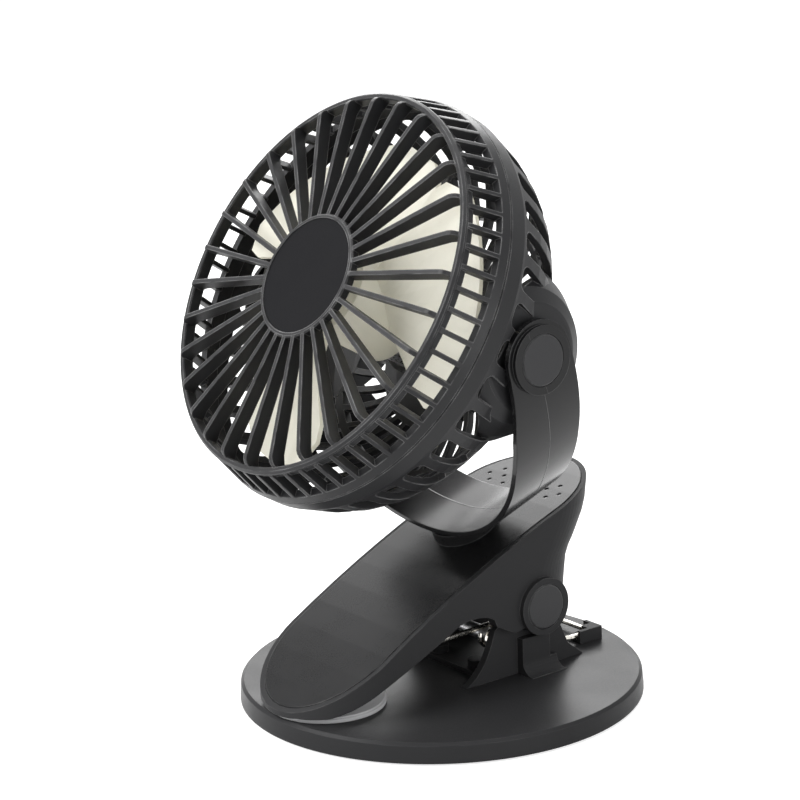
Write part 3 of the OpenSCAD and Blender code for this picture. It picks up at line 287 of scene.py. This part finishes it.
# ---- Impeller --------------------------------------------------------------------
# Three broad blades and their hub in one milky, slightly see-through moulding.
cream = (0.91, 0.89, 0.80, 1)
ivory = (0.96, 0.95, 0.88, 1)
see_through = 0.55
milky = bpy.data.materials.new("milky_plastic")
milky.use_nodes = True
tree = milky.node_tree
shader = tree.nodes["Principled BSDF"]
texture = node(tree, "ShaderNodeGroup", {"node_tree": moulded}, Rough_Low=0.26, Rough_High=0.36)
tint = node(tree, "ShaderNodeMix", {"data_type": "RGBA"}, Factor=texture.outputs["Cloud"],
            i6=cream, i7=ivory)
relief = node(tree, "ShaderNodeBump", Strength=0.03, Distance=relief_depth,
              Height=texture.outputs["Height"])
through = node(tree, "ShaderNodeBsdfTranslucent", Color=tint.outputs[2])
mixed = node(tree, "ShaderNodeMixShader", Fac=see_through)
tree.links.new(tint.outputs[2], shader.inputs["Base Color"])
tree.links.new(texture.outputs["Roughness"], shader.inputs["Roughness"])
tree.links.new(relief.outputs[0], shader.inputs["Normal"])
tree.links.new(shader.outputs[0], mixed.inputs[1])
tree.links.new(through.outputs[0], mixed.inputs[2])
tree.links.new(mixed.outputs[0], tree.nodes["Material Output"].inputs["Surface"])
dress("impeller", milky)

# ---- Floor, light and camera ------------------------------------------------------
# A plain white floor, one broad soft light in front and above on the left,
# weaker ones at both sides, behind and above, and a weak white surround.
floor_size = 6.0
floor_below = 0.0001
floor_grey = (0.5, 0.5, 0.5, 1)
floor_lift = 0.72


def directly_seen(tree):
    """One for rays from the camera, from a reflection or through something clear, else nought."""
    ray = node(tree, "ShaderNodeLightPath").outputs
    mirrored = node(tree, "ShaderNodeMath", {"operation": "MAXIMUM"}, i0=ray["Is Camera Ray"],
                    i1=ray["Is Glossy Ray"])
    seen = node(tree, "ShaderNodeMath", {"operation": "MAXIMUM"}, i0=mirrored.outputs[0],
                i1=ray["Is Transmission Ray"])
    return seen.outputs[0]


bpy.ops.mesh.primitive_plane_add(size=floor_size, location=(0, 0, -floor_below))
floor = bpy.context.object
floor.name = "floor"
paper = bpy.data.materials.new("floor_white")
paper.use_nodes = True
tree = paper.node_tree
lift = node(tree, "ShaderNodeMath", {"operation": "MULTIPLY"}, i0=directly_seen(tree),
            i1=floor_lift)
glow = node(tree, "ShaderNodeEmission", Color=(1, 1, 1, 1), Strength=lift.outputs[0])
shader = tree.nodes["Principled BSDF"]
shader.inputs["Base Color"].default_value = floor_grey
shader.inputs["Roughness"].default_value = 0.8
both = tree.nodes.new("ShaderNodeAddShader")
tree.links.new(shader.outputs[0], both.inputs[0])
tree.links.new(glow.outputs[0], both.inputs[1])
tree.links.new(both.outputs[0], tree.nodes["Material Output"].inputs["Surface"])
floor.data.materials.append(paper)

surround = 0.5
world = bpy.data.worlds.new("studio")
bpy.context.scene.world = world
world.use_nodes = True
tree = world.node_tree
level = node(tree, "ShaderNodeMapRange", Value=directly_seen(tree), To_Min=surround, To_Max=1.0)
tree.links.new(level.outputs[0], tree.nodes["Background"].inputs["Strength"])
tree.nodes["Background"].inputs["Color"].default_value = (1, 1, 1, 1)

middle = Vector((0, 0, 0.1))
for label, place, size, power in (
        ("key", (-0.35, -1.0, 0.95), (0.9, 0.7), 26.0),
        ("back_left", (-0.8, 0.7, 0.7), (0.7, 0.7), 10.0),
        ("left", (-1.0, 0.2, 0.66), (0.3, 0.6), 2.2),
        ("side_right", (1.1, 0.0, 0.32), (0.5, 0.8), 6.0),
        ("top", (0.0, 0.1, 1.3), (0.9, 0.9), 6.0)):
    lamp = bpy.data.lights.new(label, "AREA")
    lamp.shape = "RECTANGLE"
    lamp.size, lamp.size_y = size
    lamp.energy = power
    holder = bpy.data.objects.new(label, lamp)
    bpy.context.scene.collection.objects.link(holder)
    holder.location = place
    holder.rotation_euler = (middle - Vector(place)).to_track_quat("-Z", "Y").to_euler()

camera = bpy.data.cameras.new("camera")
camera.lens = 114.46
camera.sensor_width = 36.0
camera.clip_start = 0.01
eye = bpy.data.objects.new("camera", camera)
bpy.context.scene.collection.objects.link(eye)
stand = (0.64787, -0.50348, 0.31488)
roll = math.radians(-1.97)
back = Vector((0.7722, -0.5837, 0.2507)).normalized()
right = Vector((0.6030, 0.7977, 0.0)).normalized()
turn = Matrix((right, back.cross(right), back)).transposed().to_4x4()
eye.matrix_world = Matrix.Translation(stand) @ turn @ Matrix.Rotation(roll, 4, "Z")
bpy.context.scene.camera = eye
bpy.context.scene.view_settings.view_transform = "Standard"
